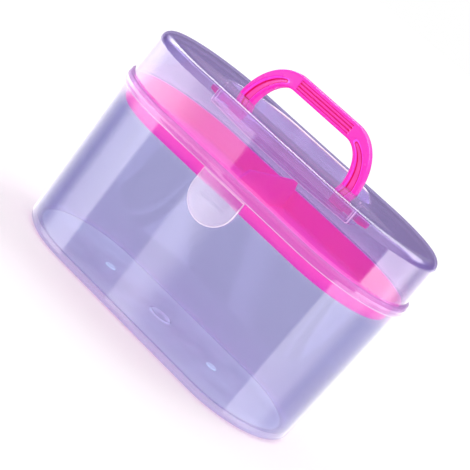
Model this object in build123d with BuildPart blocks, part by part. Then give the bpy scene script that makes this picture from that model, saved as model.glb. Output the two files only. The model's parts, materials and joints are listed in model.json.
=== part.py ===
from build123d import *
from math import asin, cos, degrees, hypot, radians, sin, tan
import os

# A racetrack-shaped plastic sewing box: a clear tub, a clear lid hinged at the back with a latch tab in
# front, a tray inside and a carrying handle that folds back into a well in the lid.
# Millimetres. X runs along the box, the front faces -Y, and Z is up from the surface the box stands on.

# Whole box, measured over the lid's skirt
box_length = 215.0
box_depth = 108.5

# Tub
tub_height = 105.0
tub_wall = 1.5
tub_draft = 1.9
foot_round = 4.6
foot_land = 2.5
foot_recess = 2.8
floor_thickness = 1.6
floor_round = 2.5
rim_round = 0.4

# Ledge inside the tub that carries the tray
ledge_drop = 1.6
ledge_height = 2.2
ledge_overlap = 1.0

# Marks moulded on the tub's floor
gate_ring_radius = 7.5
gate_ring_width = 1.4
floor_mark_radius = 3.6
floor_mark_spacing = 87.4
floor_mark_height = 0.6

# Catch for the latch, on the tub's front
catch_length = 18.0
catch_height = 4.2
catch_depth = 1.0
catch_drop = 6.4
catch_corner_round = 1.0

# Lid
lid_rise = 31.6
lid_wall = 1.5
lid_step = 2.6
lid_round = 5.7
skirt_wall = 1.5
skirt_gap = 0.7
skirt_overlap = 5.9
shoulder_thickness = 1.5
shoulder_round = 2.3
seat_gap = 0.2

# Well in the lid for the folded handle
well_depth = 14.0
well_wall = 1.5
well_floor = 1.5
well_front_room = 9.0
well_back_room = 2.0
well_straight_end = 4.0
well_blend_angle = 20.0
well_corner_round = 2.0

# Handle
handle_y = -5.0
handle_rise = 39.1
handle_half_width = 45.6
handle_thickness = 7.6
leg_width = 9.0
grip_height = 9.9
arch_round = 26.6
handle_edge_round = 1.1
flange_width = 2.0
web_thickness = 2.8
channel_start = 6.5
grip_panel_length = 41.0
grip_panel_recess = 0.9
grip_rib_count = 3
grip_rib_width = 0.9
grip_rib_height = 0.6
pin_radius = 2.65
pin_length = 16.7
pin_taper_length = 5.6
pin_tip_radius = 1.7
pin_clearance = 0.05
handle_side_play = 7.9
handle_fold_gap = 0.3

# Lid hinge at the back
hinge_reach = 0.5
hinge_drop = 3.4
hinge_spacing = 72.0
knuckle_radius = 2.5
ear_width = 8.0
ear_root_height = 5.0
ear_root_gap = 0.5
lug_width = 3.0
lug_root_height = 6.0
lug_root_drop = 1.0
lug_gap = 0.3
hinge_pin_radius = 1.5
hinge_pin_clearance = 0.05

# Latch tab
tab_width = 31.5
tab_height = 25.0
tab_thickness = 1.5
tab_rim_width = 1.2
tab_rim_depth = 1.2
tab_rim_start = 1.5
tab_standoff = 0.9
tab_hinge_gap = 0.1
bead_height = 1.8
bead_gap = 0.3
bead_radius = 0.7

# Tray
tray_depth = 14.2
tray_wall = 1.3
tray_draft = 2.5
tray_round = 3.0
tray_rim_thickness = 1.4
tray_side_gap = 0.8
tray_wall_gap = 0.5
divider_thickness = 1.6
divider_rise = 7.0
divider_top_length = 78.0
divider_foot_length = 89.0

# How near an edge has to lie to the level and the reach by which it is chosen
level_tolerance = 0.01
reach_tolerance = 0.05

# Levels and places that follow from the sizes above
slope = tan(radians(tub_draft))
shoulder_top = tub_height + seat_gap + shoulder_thickness
skirt_bottom = tub_height - skirt_overlap
lid_top = tub_height + lid_rise
lid_inner_inset = lid_step + lid_wall
rim_inset = skirt_wall + skirt_gap
foot_inset = rim_inset + tub_height * slope
floor_top = foot_recess + floor_thickness
catch_top = skirt_bottom - catch_drop

ledge_top = tub_height - ledge_drop
tray_rim_inset = lid_inner_inset + tray_side_gap
ledge_inset = tray_rim_inset + ledge_overlap
tray_inset = ledge_inset + tray_wall_gap
tray_rim_top = ledge_top + tray_rim_thickness
tray_bottom = tray_rim_top - tray_depth

well_bottom = lid_top - well_depth
handle_z = well_bottom + handle_thickness / 2 + handle_fold_gap
arch_centre_x = handle_half_width - arch_round
arch_centre_z = handle_z + handle_rise - arch_round
well_half_length = handle_half_width + handle_side_play
well_front = handle_y - well_front_room
well_arc_radius = arch_round + well_back_room
well_arc_y = handle_y + handle_rise - arch_round

hinge_y = box_depth / 2 + hinge_reach
hinge_z = skirt_bottom - hinge_drop

tab_hinge_y = -(box_depth / 2 + tab_standoff - tab_thickness / 2)
tab_hinge_z = skirt_bottom - tab_thickness / 2 - tab_hinge_gap
tab_back_y = tab_hinge_y + tab_thickness / 2


def racetrack(inset):
    """The box's outline in plan, moved inwards by inset."""
    SlotOverall(box_length - 2 * inset, box_depth - 2 * inset)


def tub_inset(z):
    """How far the tub's outer wall stands inside the skirt's outline at height z."""
    return rim_inset + (tub_height - z) * slope


def edges_at(part, z, inset):
    """The edges of the racetrack outline of that inset at height z."""
    level = part.edges().filter_by_position(Axis.Z, z - level_tolerance, z + level_tolerance)
    reach = box_depth / 2 - inset
    return level.filter_by(lambda edge: abs(max(abs(edge.bounding_box().min.Y),
                                                abs(edge.bounding_box().max.Y)) - reach) < reach_tolerance)


def well_outline(margin):
    """The well's outline, which follows the folded handle, moved outwards by margin."""
    side_end = handle_y + well_straight_end
    blend = radians(well_blend_angle)
    radius = well_arc_radius
    with BuildSketch() as outline:
        with BuildLine():
            Polyline((0, well_front), (well_half_length, well_front), (well_half_length, side_end),
                     (arch_centre_x + radius * cos(blend), well_arc_y + radius * sin(blend)))
            CenterArc((arch_centre_x, well_arc_y), radius, well_blend_angle, 90 - well_blend_angle)
            Line((arch_centre_x, well_arc_y + radius), (0, well_arc_y + radius))
            mirror(about=Plane.YZ)
        make_face()
        front_points = outline.vertices().group_by(Axis.Y)[0]
        fillet(front_points.filter_by(lambda point: abs(point.X) > well_corner_round), well_corner_round)
        if margin > 0:
            offset(amount=margin)
    return outline.sketch


def arch_outline(inset, foot):
    """The handle's arch in its own plane, narrowed by inset on both sides, with its legs cut off at foot."""
    outer = arch_round - inset
    inner_x = arch_round - leg_width + inset
    inner_z = arch_round - grip_height + inset
    with BuildSketch() as outline:
        with BuildLine():
            Line((0, arch_centre_z + outer), (arch_centre_x, arch_centre_z + outer))
            CenterArc((arch_centre_x, arch_centre_z), outer, 0, 90)
            Polyline((arch_centre_x + outer, arch_centre_z), (arch_centre_x + outer, foot),
                     (arch_centre_x + inner_x, foot), (arch_centre_x + inner_x, arch_centre_z))
            EllipticalCenterArc((arch_centre_x, arch_centre_z), inner_x, inner_z, start_angle=0, arc_size=90)
            Line((arch_centre_x, arch_centre_z + inner_z), (0, arch_centre_z + inner_z))
            mirror(about=Plane.YZ)
        make_face()
    return outline.sketch


# Tub
with BuildPart() as tub:
    with BuildSketch(Plane.XY.offset(tub_height)):
        racetrack(rim_inset)
    extrude(amount=-tub_height, taper=tub_draft)
    fillet(tub.faces().sort_by(Axis.Z)[0].edges(), foot_round)
    with BuildSketch(Plane.XY.offset(tub_height)):
        racetrack(rim_inset + tub_wall)
    extrude(amount=floor_top - tub_height, taper=tub_draft, mode=Mode.SUBTRACT)
    fillet(edges_at(tub, floor_top, tub_inset(floor_top) + tub_wall), floor_round)
    with BuildSketch(Plane.XY):
        racetrack(foot_inset + foot_round + foot_land)
    extrude(amount=foot_recess, mode=Mode.SUBTRACT)
    fillet(tub.faces().sort_by(Axis.Z)[-1].edges(), rim_round)

    # Ledge for the tray, with a sloping underside
    with BuildSketch(Plane.XY.offset(ledge_top)):
        racetrack(tub_inset(ledge_top) + tub_wall / 2)
        SlotOverall(box_length - 2 * ledge_inset, box_depth - 2 * ledge_inset, mode=Mode.SUBTRACT)
    extrude(amount=-ledge_height)
    chamfer(edges_at(tub, ledge_top - ledge_height, ledge_inset), ledge_overlap)

    # Gate ring and two round marks on the floor
    with BuildSketch(Plane.XY.offset(floor_top)):
        Circle(gate_ring_radius)
        Circle(gate_ring_radius - gate_ring_width, mode=Mode.SUBTRACT)
        with GridLocations(floor_mark_spacing, 0, 2, 1):
            Circle(floor_mark_radius)
    extrude(amount=floor_mark_height)

    # Catch for the latch
    catch_root = box_depth / 2 - tub_inset(catch_top) - tub_wall / 2
    catch_face = box_depth / 2 - tub_inset(catch_top - catch_height / 2) + catch_depth
    with BuildSketch(Plane.XZ.offset(catch_root)):
        with Locations((0, catch_top - catch_height / 2)):
            RectangleRounded(catch_length, catch_height, catch_corner_round)
    extrude(amount=catch_face - catch_root)

    # Two pairs of hinge lugs at the back
    lug_root_top = skirt_bottom - lug_root_drop
    lug_root_y = box_depth / 2 - tub_inset(lug_root_top) - tub_wall / 2
    lug_offset = ear_width / 2 + lug_gap + lug_width / 2
    for side in (-1, 1):
        for flank in (-1, 1):
            with BuildSketch(Plane.YZ.offset(side * hinge_spacing / 2 + flank * lug_offset)):
                with Locations((hinge_y, hinge_z)):
                    Circle(knuckle_radius)
                with Locations((lug_root_y, lug_root_top - lug_root_height / 2)):
                    Rectangle(tub_wall / 2, lug_root_height)
                make_hull()
                with Locations((hinge_y, hinge_z)):
                    Circle(hinge_pin_radius + hinge_pin_clearance, mode=Mode.SUBTRACT)
            extrude(amount=lug_width / 2, both=True)

# Lid
with BuildPart() as lid:
    with BuildSketch(Plane.XY.offset(skirt_bottom)):
        racetrack(0)
    extrude(amount=shoulder_top - skirt_bottom)
    fillet(lid.faces().sort_by(Axis.Z)[-1].edges(), shoulder_round)
    with BuildSketch(Plane.XY.offset(skirt_bottom)):
        racetrack(lid_step)
    extrude(amount=lid_top - skirt_bottom)
    with BuildSketch(Plane.XY.offset(skirt_bottom)):
        racetrack(lid_inner_inset)
    extrude(amount=lid_top - lid_wall - skirt_bottom, mode=Mode.SUBTRACT)
    fillet(edges_at(lid, lid_top - lid_wall, lid_inner_inset), lid_round - lid_wall)
    fillet(edges_at(lid, lid_top, lid_step), lid_round)
    with BuildSketch(Plane.XY.offset(skirt_bottom)):
        racetrack(skirt_wall)
    extrude(amount=shoulder_top - shoulder_thickness - skirt_bottom, mode=Mode.SUBTRACT)

    # Well for the folded handle
    with BuildSketch(Plane.XY.offset(lid_top)):
        add(well_outline(well_wall))
    extrude(amount=-(well_depth + well_floor))
    with BuildSketch(Plane.XY.offset(lid_top)):
        add(well_outline(0))
    extrude(amount=-well_depth, mode=Mode.SUBTRACT)

    # Pivot holes through the well's end walls
    with BuildSketch(Plane.YZ):
        with Locations((handle_y, handle_z)):
            Circle(pin_radius + pin_clearance)
    extrude(amount=well_half_length + 2 * well_wall, both=True, mode=Mode.SUBTRACT)

    # Hinge ears, each with a pivot pin on both sides
    ear_root_z = skirt_bottom + ear_root_gap + ear_root_height / 2
    for side in (-1, 1):
        with BuildSketch(Plane.YZ.offset(side * hinge_spacing / 2)):
            with Locations((hinge_y, hinge_z)):
                Circle(knuckle_radius)
            with Locations((box_depth / 2 - skirt_wall / 2, ear_root_z)):
                Rectangle(skirt_wall / 2, ear_root_height)
            make_hull()
        extrude(amount=ear_width / 2, both=True)
        with BuildSketch(Plane.YZ.offset(side * hinge_spacing / 2)):
            with Locations((hinge_y, hinge_z)):
                Circle(hinge_pin_radius)
        extrude(amount=ear_width / 2 + lug_gap + lug_width, both=True)

# Latch tab: a plate with a rim round its back, a bead that snaps under the catch and a rounded top edge
with BuildPart() as latch_tab:
    tab_bottom = skirt_bottom - tab_height
    tab_round_z = tab_bottom + tab_width / 2
    with BuildSketch(Plane.XZ.offset(-tab_back_y)):
        with BuildLine():
            Polyline((-tab_width / 2, tab_round_z), (-tab_width / 2, tab_hinge_z),
                     (tab_width / 2, tab_hinge_z), (tab_width / 2, tab_round_z))
            CenterArc((0, tab_round_z), tab_width / 2, 180, 180)
        make_face()
    extrude(amount=tab_thickness)
    with BuildSketch(Plane.YZ):
        with Locations((tab_hinge_y, tab_hinge_z)):
            Circle(tab_thickness / 2)
    extrude(amount=tab_width / 2, both=True)
    rim_top = catch_top + tab_rim_start
    with BuildSketch(Plane.XZ.offset(-tab_back_y)):
        with BuildLine():
            Polyline((-tab_width / 2, tab_round_z), (-tab_width / 2, rim_top),
                     (tab_width / 2, rim_top), (tab_width / 2, tab_round_z))
            CenterArc((0, tab_round_z), tab_width / 2, 180, 180)
        make_face()
        with BuildLine():
            inner = tab_width / 2 - tab_rim_width
            Polyline((-inner, tab_round_z), (-inner, rim_top), (inner, rim_top), (inner, tab_round_z))
            CenterArc((0, tab_round_z), inner, 180, 180)
        make_face(mode=Mode.SUBTRACT)
    extrude(amount=-tab_rim_depth)
    bead_depth = -tab_back_y - catch_face - bead_gap
    with BuildSketch(Plane.XZ.offset(-tab_back_y)):
        with Locations((0, catch_top - catch_height - bead_gap - bead_height / 2)):
            RectangleRounded(catch_length, bead_height, bead_radius)
    extrude(amount=-bead_depth)

# Tray
with BuildPart() as tray:
    with BuildSketch(Plane.XY.offset(tray_rim_top)):
        racetrack(tray_inset)
    extrude(amount=-tray_depth, taper=tray_draft)
    fillet(tray.faces().sort_by(Axis.Z)[0].edges(), tray_round)
    with BuildSketch(Plane.XY.offset(tray_rim_top)):
        racetrack(tray_rim_inset)
    extrude(amount=-tray_rim_thickness)
    with BuildSketch(Plane.XY.offset(tray_rim_top)):
        racetrack(tray_inset + tray_wall)
    extrude(amount=tray_wall - tray_depth, taper=tray_draft, mode=Mode.SUBTRACT)
    tray_slope = tan(radians(tray_draft))
    cavity_inset = tray_inset + tray_wall + (tray_depth - tray_wall) * tray_slope
    fillet(edges_at(tray, tray_bottom + tray_wall, cavity_inset), tray_round - tray_wall)

    # Divider across the middle, raised above the rim so that it lifts the tray
    divider_foot = box_depth - 2 * (tray_inset + tray_wall / 2)
    with BuildSketch(Plane.YZ):
        with BuildLine():
            Polyline((-divider_foot / 2, tray_rim_top), (-divider_foot_length / 2, tray_rim_top),
                     (-divider_top_length / 2, tray_rim_top + divider_rise),
                     (divider_top_length / 2, tray_rim_top + divider_rise),
                     (divider_foot_length / 2, tray_rim_top), (divider_foot / 2, tray_rim_top),
                     (divider_foot / 2 - tray_depth * tray_slope, tray_bottom + tray_wall / 2),
                     (-divider_foot / 2 + tray_depth * tray_slope, tray_bottom + tray_wall / 2), close=True)
        make_face()
    extrude(amount=divider_thickness / 2, both=True)

# Handle, standing up
with BuildPart() as handle:
    handle_plane = Plane.XZ.offset(-handle_y)
    with BuildSketch(handle_plane):
        add(arch_outline(0, handle_z))
    extrude(amount=handle_thickness / 2, both=True)
    long_edges = handle.faces().filter_by(Axis.Y).edges()
    fillet(long_edges.filter_by(lambda edge: edge.center().Z > handle_z + level_tolerance), handle_edge_round)

    # Channel along both faces, with a ribbed panel in place of it along the grip
    for face in (-1, 1):
        cheek = handle_plane.offset(-face * handle_thickness / 2)
        with BuildSketch(cheek):
            add(arch_outline(flange_width, handle_z + channel_start))
            with Locations((0, handle_z + handle_rise)):
                Rectangle(grip_panel_length, 2 * grip_height, mode=Mode.SUBTRACT)
        extrude(amount=face * (handle_thickness - web_thickness) / 2, mode=Mode.SUBTRACT)
        panel_height = grip_height - 2 * flange_width
        panel_z = handle_z + handle_rise - grip_height / 2
        with BuildSketch(cheek):
            with Locations((0, panel_z)):
                Rectangle(grip_panel_length - flange_width, panel_height)
        extrude(amount=face * grip_panel_recess, mode=Mode.SUBTRACT)
        with BuildSketch(cheek.offset(face * grip_panel_recess)):
            with Locations((0, panel_z)):
                with GridLocations(0, panel_height / grip_rib_count, 1, grip_rib_count):
                    Rectangle(grip_panel_length - 2 * flange_width, grip_rib_width)
        extrude(amount=-face * grip_rib_height)

    # Round feet of the legs, and a pivot pin with a tapered tip on each
    with BuildSketch(Plane.YZ):
        with Locations((handle_y, handle_z)):
            Circle(handle_thickness / 2)
    extrude(amount=handle_half_width, both=True)
    with BuildSketch(Plane.YZ):
        with Locations((handle_y, handle_z)):
            Rectangle(2 * handle_thickness, 2 * handle_thickness)
    extrude(amount=handle_half_width - leg_width, both=True, mode=Mode.SUBTRACT)
    pin_tip = handle_half_width + pin_length
    with BuildSketch(handle_plane):
        with BuildLine():
            Polyline((handle_half_width - leg_width / 2, handle_z),
                     (handle_half_width - leg_width / 2, handle_z + pin_radius),
                     (pin_tip - pin_taper_length, handle_z + pin_radius),
                     (pin_tip, handle_z + pin_tip_radius), (pin_tip, handle_z), close=True)
        make_face()
        mirror(about=Plane.YZ)
    revolve(axis=Axis((0, handle_y, handle_z), (1, 0, 0)))

pieces = {"tub": tub, "lid": lid, "latch_tab": latch_tab, "tray": tray, "handle": handle}
os.makedirs("parts", exist_ok=True)
for label, piece in pieces.items():
    piece.part.label = label
    export_step(piece.part, f"parts/{label}.step")

# How far the handle tips forward before its legs meet the front edge of the well
edge_distance = hypot(well_front_room, lid_top - handle_z)
forward = asin(well_front_room / edge_distance) - asin(handle_thickness / 2 / edge_distance)
print(f"handle pivot at y {handle_y:.2f}, z {handle_z:.2f}; tips forward {degrees(forward):.1f} degrees")
print(f"lid hinge at y {hinge_y:.2f}, z {hinge_z:.2f}")
print(f"latch hinge at y {tab_hinge_y:.2f}, z {tab_hinge_z:.2f}")
print(f"tray rim at z {tray_rim_top:.2f}, tray bottom at z {tray_bottom:.2f}")
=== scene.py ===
import json
import math

import bpy
import numpy as np
from bpy.props import FloatProperty, FloatVectorProperty, IntProperty, PointerProperty
from bpy.types import Operator, Panel, PropertyGroup
from mathutils import Matrix, Vector


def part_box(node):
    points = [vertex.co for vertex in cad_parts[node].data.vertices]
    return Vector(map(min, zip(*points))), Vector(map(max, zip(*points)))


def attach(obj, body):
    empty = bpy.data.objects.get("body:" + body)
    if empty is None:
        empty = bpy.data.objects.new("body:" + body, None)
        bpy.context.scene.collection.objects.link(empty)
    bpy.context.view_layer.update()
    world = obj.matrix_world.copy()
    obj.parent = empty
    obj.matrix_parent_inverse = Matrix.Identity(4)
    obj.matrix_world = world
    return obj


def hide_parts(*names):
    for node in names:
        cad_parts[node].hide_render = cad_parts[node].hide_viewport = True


bl_info = {
    "name": "Sewing Box",
    "version": (1, 0, 0),
    "blender": (4, 5, 0),
    "location": "3D View > Sidebar > Sewing Box",
    "description": "Builds a clear plastic sewing box with a pink tray and handle, and its studio",
    "category": "Add Mesh",
}

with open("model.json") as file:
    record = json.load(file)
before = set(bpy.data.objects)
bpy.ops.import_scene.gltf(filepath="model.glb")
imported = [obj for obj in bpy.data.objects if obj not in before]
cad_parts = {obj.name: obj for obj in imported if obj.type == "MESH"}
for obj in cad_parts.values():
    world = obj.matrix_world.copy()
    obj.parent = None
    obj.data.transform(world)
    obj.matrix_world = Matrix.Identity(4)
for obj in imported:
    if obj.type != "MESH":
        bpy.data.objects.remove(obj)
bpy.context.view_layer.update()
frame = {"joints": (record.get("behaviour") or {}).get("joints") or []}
LID_LOW, LID_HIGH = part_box("lid")
TUB_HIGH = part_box("tub")[1]
TAB_LOW, TAB_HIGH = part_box("latch_tab")
TRAY_LOW, TRAY_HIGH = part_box("tray")
HANDLE_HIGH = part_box("handle")[1]
JOINTS = {joint["name"]: joint for joint in frame["joints"]}
LID_PIVOT = JOINTS["lid_hinge"]["pos_m"]
HANDLE_PIVOT = JOINTS["handle_fold"]["pos_m"]
TAU = 2 * math.pi

# Directions in which the hull of circles is measured
FACING = np.linspace(0, TAU, 1440, endpoint=False)
NORMALS = np.stack([np.cos(FACING), np.sin(FACING)])

# Radii of small moulded edges, and how far a piece sinks into the wall that carries it
EDGE, SLIGHT_EDGE, FINE_EDGE = 0.0004, 0.0003, 0.0002
SUNK = 0.0003


class Finish:
    """Amounts of frost on the clear plastic's faces: above 0 they are frosted and their haze has a painted
    glow, and below 0 they are clearer with painted pink light from the tray. Some amounts frost a face more
    to paint a highlight on it.
    """

    faint = 0.2
    tub_rim, tub_foot, tub_floor = -0.8, 0.3, 1.3
    # The gate ring's frost is a painted highlight along its crest; the marks and the catch are frosted
    gate, gate_middle, mark, catch = 2.4, 1.1, 2.6, 0.3
    well_floor, well_wall, well_front, well_rim, well_rim_back = 0.7, 0.12, -1.0, 0.15, 1.2
    well_seam_inside, well_seam_outside, well_front_foot, top_before_well = 2.0, 2.2, 1.9, 0.15
    hem, skirt = 0.6, -0.65
    tab, tab_edge, tab_side, tab_rim, tab_top, bead = 0.75, 2.2, -1.0, 0.9, 0.12, 0.15


def length(name, default, description):
    """A size in metres for a property group."""
    return FloatProperty(name=name, description=description, default=default, unit="LENGTH", precision=5)


def draft_angle(default):
    """The angle by which a wall leans, for a property group."""
    return FloatProperty(name="Draft", description="Lean of the wall", default=math.radians(default),
                         subtype="ANGLE")


def tone(name, default, description):
    """A colour for a property group."""
    return FloatVectorProperty(name=name, description=description, default=default, subtype="COLOR",
                               min=0, max=1)


def fraction(name, default, description):
    """A number from 0 to 1 for a property group."""
    return FloatProperty(name=name, description=description, default=default, subtype="FACTOR", min=0, max=1)


class PlanSizes(PropertyGroup):
    """The racetrack outline that every shell shares."""

    half_length: length("Half length", LID_HIGH.x, "Half the box's length over the lid's skirt")
    half_depth: length("Half depth", -LID_LOW.y, "Half the box's depth over the lid's skirt")


class TubSizes(PropertyGroup):
    """The clear tub."""

    rim_inset: length("Rim inset", 0.0022, "How far the rim stands inside the skirt's outline")
    wall: length("Wall", 0.0015, "Thickness of the wall")
    draft: draft_angle(1.9)
    foot_round: length("Foot round", 0.0046, "Radius of the wall's foot")
    foot_land: length("Foot land", 0.0025, "Width of the ring that the box stands on")
    foot_recess: length("Foot recess", 0.0028, "Height of the recess inside the foot ring")
    floor: length("Floor", 0.0016, "Thickness of the floor")
    floor_round: length("Floor round", 0.0025, "Radius round the floor's edge")
    ledge_drop: length("Ledge drop", 0.0016, "How far the tray's ledge lies under the rim")
    ledge_height: length("Ledge height", 0.0022, "Height of the ledge's edge")
    ledge_inset: length("Ledge inset", 0.0059, "How far the ledge reaches in from the skirt's outline")
    gate_radius: length("Gate ring", 0.0068, "Radius of the ring moulded at the floor's middle")
    gate_width: length("Gate ring width", 0.0014, "Width of that ring")
    gate_height: length("Gate ring height", 0.0006, "Height of that ring")
    mark_spacing: length("Mark spacing", 0.0874, "Distance between the two round marks on the floor")
    mark_radius: length("Mark radius", 0.0036, "Radius of a round mark")
    mark_height: length("Mark height", 0.0006, "How far a round mark stands up")
    catch_half: length("Catch half length", 0.009, "Half the length of the latch's catch")
    catch_low: length("Catch bottom", 0.0885, "Height of the catch's lower edge")
    catch_high: length("Catch top", 0.0927, "Height of the catch's upper edge")
    catch_depth: length("Catch depth", 0.001, "How far the catch stands out")
    catch_corner: length("Catch corner", 0.001, "Radius of the catch's corners")


class LidSizes(PropertyGroup):
    """The clear lid, its skirt and the well for the handle."""

    skirt_bottom: length("Skirt bottom", 0.0991, "Height of the skirt's lower edge")
    shoulder_top: length("Shoulder top", 0.1067, "Height of the skirt's shoulder")
    shoulder_fall: length("Shoulder fall", 0.0028, "Height over which the shoulder bulges out")
    skirt_wall: length("Skirt wall", 0.0015, "Thickness of the skirt")
    seat: length("Seat", 0.1052, "Height of the face that rests on the tub's rim")
    step: length("Step", 0.0026, "How far the lid's wall stands inside the skirt")
    wall: length("Wall", 0.0015, "Thickness of the wall")
    top_round: length("Top round", 0.0057, "Radius round the lid's top")
    well_half: length("Well half length", 0.0535, "Half the well's length")
    well_front: length("Well front", -0.014, "The well's front wall")
    well_bend: length("Well bend", -0.001, "Where the well's ends start to draw in")
    well_corner: length("Well corner", 0.002, "Radius of the well's front corners")
    well_arc_x: length("Well arc X", 0.019, "Middle of the well's back corners, across")
    well_arc_y: length("Well arc Y", 0.0075, "Middle of the well's back corners, to the back")
    well_arc: length("Well arc", 0.0286, "Radius of the well's back corners")
    well_depth: length("Well depth", 0.014, "Depth of the well")
    well_middle: length("Well middle", 0.009, "How far behind the middle the lid's rings are centred")


class HingeSizes(PropertyGroup):
    """The hinge at the back: pairs of lugs on the tub, ears on the lid and a pin through each ear."""

    reach: length("Reach", 0.036, "Distance of each hinge from the box's middle")
    knuckle: length("Knuckle", 0.0025, "Radius of the lugs and ears round the pin")
    lug_gap: length("Lug gap", 0.0058, "Distance of a lug from its hinge's middle")
    lug: length("Lug", 0.003, "Thickness of a lug")
    lug_rise: length("Lug rise", 0.0018, "How far above the pin a lug meets the wall")
    lug_fall: length("Lug fall", 0.003, "How far below the pin a lug meets the wall")
    ear: length("Ear", 0.008, "Width of an ear")
    ear_low: length("Ear bottom", 0.001, "Height of an ear's lower edge over the skirt's")
    ear_high: length("Ear top", 0.005, "Height of an ear's upper edge over the skirt's lower one")
    pin: length("Pin", 0.0015, "Radius of a pin")
    pin_length: length("Pin length", 0.0146, "Length of a pin")


class TabSizes(PropertyGroup):
    """The latch tab on the lid's skirt."""

    plate: length("Plate", 0.0015, "Thickness of the plate")
    rim: length("Rim", 0.0012, "Width and depth of the rim round the tab's back")
    rim_top: length("Rim top", 0.0942, "Height at which the rim ends")
    edge: length("Edge", 0.0006, "Radius of the plate's edges and corners")
    fade: length("Fade", 0.0015, "Height over which the rim fades out")
    bead: length("Bead", 0.0007, "Radius of the bead's ends")
    bead_low: length("Bead bottom", 0.0014, "How far the bead's lower axis lies under the catch")
    bead_high: length("Bead top", 0.001, "How far the bead's upper axis lies under the catch")


class TraySizes(PropertyGroup):
    """The pink tray."""

    inset: length("Inset", 0.0064, "How far the wall's top stands inside the skirt's outline")
    height: length("Height", 0.0142, "Height of the wall with its rim")
    rim: length("Rim", 0.0014, "Thickness of the rim")
    wall: length("Wall", 0.0013, "Thickness of the wall")
    draft: draft_angle(2.5)
    bottom_round: length("Bottom round", 0.003, "Radius round the tray's bottom")
    divider: length("Divider", 0.0016, "Thickness of the divider")
    divider_top: length("Divider top", 0.039, "Half the length of the divider's top")
    divider_foot: length("Divider foot", 0.0445, "Half the length of the divider's raised part at the rim")


class HandleSizes(PropertyGroup):
    """The pink handle."""

    half_width: length("Half width", 0.0456, "Half the width over the legs")
    thickness: length("Thickness", 0.0076, "Thickness of the legs and the grip")
    leg: length("Leg", 0.0101, "Width of a leg")
    grip: length("Grip", 0.0099, "Height of the grip")
    arch_width: length("Arch width", 0.0248, "How far in from the leg the arch reaches the grip")
    arch_height: length("Arch height", 0.032, "How far below the grip's top the arch starts")
    edge: length("Edge", 0.0011, "Radius along the edges")
    flange: length("Flange", 0.0016, "Width of the flanges beside the channel")
    channel: length("Channel", 0.0027, "Depth of the channel")
    web: length("Web", 0.0023, "Width of the channel's flat bottom")
    channel_start: length("Channel start", 0.0065, "How far above the pivot the channel starts")
    panel: length("Panel", 0.0204, "Half the length of the ribbed panel in the grip")
    panel_edge: length("Panel edge", 0.0019, "Distance of the panel from the grip's edges")
    panel_depth: length("Panel depth", 0.001, "How deep the panel's grooves lie")
    rib: length("Rib", 0.0007, "How far the panel's ribs stand up")
    rib_line: length("Rib line", 0.0004, "Half width of a line between the ribs")
    rib_count: IntProperty(name="Ribs", description="Ribs along the panel", default=3)
    pin: length("Pin", 0.00265, "Radius of the pivot pins")
    pin_taper: length("Pin taper", 0.0056, "Length of the pins' tapered tips")
    pin_tip: length("Pin tip", 0.0017, "Radius of the pins' tips")


class PlasticColours(PropertyGroup):
    """Colours and clearness of the plastics."""

    tint: tone("Tint", (0.775, 0.775, 0.886), "What one face of clear plastic lets through")
    tab_tint: tone("Tab tint", (0.87, 0.87, 0.935), "What one face of the latch tab lets through")
    lid_tint: tone("Lid tint", (0.73, 0.69, 0.84), "What one face of the lid lets through")
    # The frosted faces' colours also colour their painted glow
    floor_colour: tone("Floor haze", (0.80, 0.97, 0.98), "Colour of the tub's frosted faces")
    well_colour: tone("Well haze", (1.0, 0.82, 0.86), "Colour of the lid's frosted faces")
    frost_colour: tone("Frost colour", (1.0, 0.93, 1.0), "Colour of the latch tab's frosted faces")
    # Painted pink light from the tray, in the clearer faces
    carried: tone("Carried light", (1.0, 0.30, 0.72), "Colour of the light carried from the tray")
    haze_colour: tone("Haze colour", (0.66, 0.62, 0.86), "Colour of the clear plastic's haze")
    haze: fraction("Haze", 0.02, "Share of light that one face scatters")
    frost: fraction("Frost", 0.35, "More haze where a face is frosted")
    pink: tone("Pink", (0.98, 0.025, 0.56), "Colour of the handle")
    tray_pink: tone("Tray pink", (1.0, 0.04, 0.47), "Colour of the tray")
    # Painted light on the handle's thin webs
    groove: tone("Groove pink", (1.0, 0.07, 0.55), "Colour of the thin webs of the handle")
    # Painted highlight on the sides of the handle's grooves
    violet: tone("Violet", (1.0, 0.10, 0.95), "Colour of the lit sides of the handle's grooves")
    panel: tone("Panel", (0.98, 0.035, 0.50), "Colour of the ribbed panel in the grip")
    # Painted shade deep in the handle's grooves and between the panel's ribs
    crimson: tone("Crimson", (0.80, 0.005, 0.14), "Colour deep in the handle's grooves")


class SewingBox(PropertyGroup):
    """All the sizes and colours."""

    plan: PointerProperty(type=PlanSizes)
    tub: PointerProperty(type=TubSizes)
    lid: PointerProperty(type=LidSizes)
    hinge: PointerProperty(type=HingeSizes)
    tab: PointerProperty(type=TabSizes)
    tray: PointerProperty(type=TraySizes)
    handle: PointerProperty(type=HandleSizes)
    colours: PointerProperty(type=PlasticColours)


def smooth_step(values, start, end):
    """0 before start, 1 after end and 3 t^2 - 2 t^3 in between."""
    share = np.clip((values - start) / (end - start), 0, 1)
    return share * share * (3 - 2 * share)


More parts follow.
